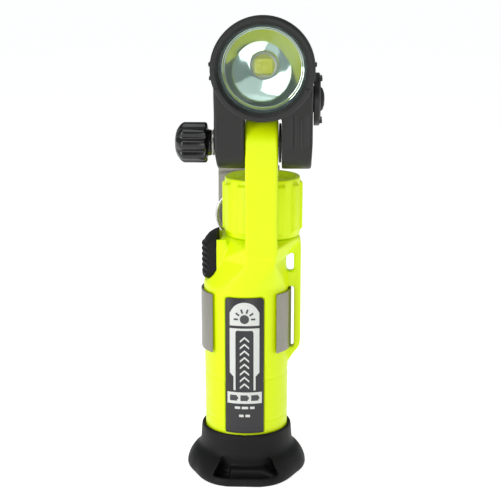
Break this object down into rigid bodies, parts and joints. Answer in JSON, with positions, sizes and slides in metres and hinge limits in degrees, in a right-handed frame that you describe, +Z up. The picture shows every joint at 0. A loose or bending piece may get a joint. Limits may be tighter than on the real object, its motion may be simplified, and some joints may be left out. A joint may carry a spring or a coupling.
{
  "type": "firefighter flashlight",
  "caption": "Right-angle hand lamp: a high-visibility battery tube on a rubber boot, a side mast and a tilting black lamp head locked by a thumb knob, with a steel belt clip behind.",
  "frame": {"origin": "on the floor at the centre of the boot's flat base, under the axis of the battery tube", "axes": "+Z up along the tube, -Y the way the lens faces at rest, +X towards the gear bar and away from the thumb knob"},
  "size_m": [0.0628, 0.0651, 0.2018],
  "materials": {
    "lime_plastic": "moulded high-visibility polycarbonate, fine texture",
    "black_plastic": "moulded glass-filled nylon, satin",
    "black_rubber": "moulded rubber, matt",
    "label_film": "printed film behind a clear hard coat",
    "spring_steel": "rolled stainless spring strip and wire, brushed",
    "contact_metal": "nickel-plated brass contacts",
    "magnet_metal": "nickel-plated magnet",
    "cell_wrap": "shrink-wrapped cell",
    "circuit_board": "printed circuit board",
    "clear_plastic": "clear hard-coated polycarbonate",
    "bright_metal": "vacuum-metallised reflector",
    "phosphor": "yellow phosphor chip",
    "aluminium": "machined heat sink",
    "seal_rubber": "O-ring rubber"
  },
  "bodies": {
    "handle": {"body_shell": "lime_plastic", "label_plate": "label_film", "power_lead": "black_plastic", "battery_1": "cell_wrap", "battery_2": "cell_wrap", "battery_3": "cell_wrap", "upper_contact": "contact_metal", "contact_carrier": "black_plastic", "switch_board": "circuit_board", "tactile_switch": "black_plastic", "top_cap_seal": "seal_rubber", "clip_band": "spring_steel", "friction_washer": "black_plastic"},
    "battery_door": {"rubber_boot": "black_rubber", "tail_cap": "black_plastic", "tail_cap_seal": "seal_rubber", "base_magnet": "magnet_metal", "lower_contact": "contact_metal", "contact_spring_1": "contact_metal", "contact_spring_2": "contact_metal", "contact_spring_3": "contact_metal"},
    "cap": {"top_cap": "lime_plastic"},
    "power_button": {"side_button": "black_rubber"},
    "clip_arm": {"clip_tongue": "spring_steel"},
    "ring": {"split_ring": "spring_steel"},
    "head": {"head_housing": "black_plastic", "rear_cover": "black_plastic", "cover_screw_1": "spring_steel", "cover_screw_2": "spring_steel", "cover_screw_3": "spring_steel", "cover_screw_4": "spring_steel", "lens": "clear_plastic", "lens_seal": "seal_rubber", "reflector": "bright_metal", "led_board": "circuit_board", "led_emitter": "phosphor", "led_dome": "clear_plastic", "heat_sink": "aluminium", "driver_board": "circuit_board", "switch_ring": "black_plastic", "head_switch": "black_plastic", "pivot_nut": "spring_steel"},
    "bezel": {"bezel_ring": "black_plastic"},
    "knob": {"thumb_knob": "black_plastic", "knob_washer": "spring_steel", "pivot_screw": "spring_steel"},
    "head_key": {"head_button": "black_rubber"}
  },
  "joints": [
    {"name": "head_tilt", "type": "hinge", "parent": "handle", "child": "head", "pos_m": [0.0079, -0.011, 0.148], "axis": [1, 0, 0], "range_deg": [-90, 90]},
    {"name": "knob_turn", "type": "hinge", "parent": "head", "child": "knob", "pos_m": [-0.02, -0.011, 0.148], "axis": [1, 0, 0], "range_deg": [-180, 180]},
    {"name": "bezel_turn", "type": "hinge", "parent": "head", "child": "bezel", "pos_m": [0.0079, -0.028, 0.1804], "axis": [0, -1, 0], "range_deg": [0, 30]},
    {"name": "head_button_press", "type": "slide", "parent": "head", "child": "head_key", "axis": [-1, 0, 0], "range_m": [0, 0.0012], "stiffness_N_per_m": 900, "springref_m": -0.001},
    {"name": "side_button_press", "type": "slide", "parent": "handle", "child": "power_button", "axis": [1, 0, 0], "range_m": [0, 0.001], "stiffness_N_per_m": 900, "springref_m": -0.001},
    {"name": "top_cap_turn", "type": "hinge", "parent": "handle", "child": "cap", "pos_m": [0.007, 0.0015, 0.12], "axis": [0, 0, 1], "range_deg": [0, 45]},
    {"name": "battery_door_turn", "type": "hinge", "parent": "handle", "child": "battery_door", "pos_m": [0, 0, 0], "axis": [0, 0, -1], "range_deg": [0, 60]},
    {"name": "clip_flex", "type": "hinge", "parent": "handle", "child": "clip_arm", "pos_m": [0, 0.0315, 0.1283], "axis": [1, 0, 0], "range_deg": [0, 8], "stiffness_Nm_per_rad": 2.5, "springref_deg": -2.86},
    {"name": "ring_swing", "type": "hinge", "parent": "handle", "child": "ring", "pos_m": [-0.0035, 0.0219, 0.1211], "axis": [1, 0, 0], "range_deg": [-4, 3.5]}
  ]
}
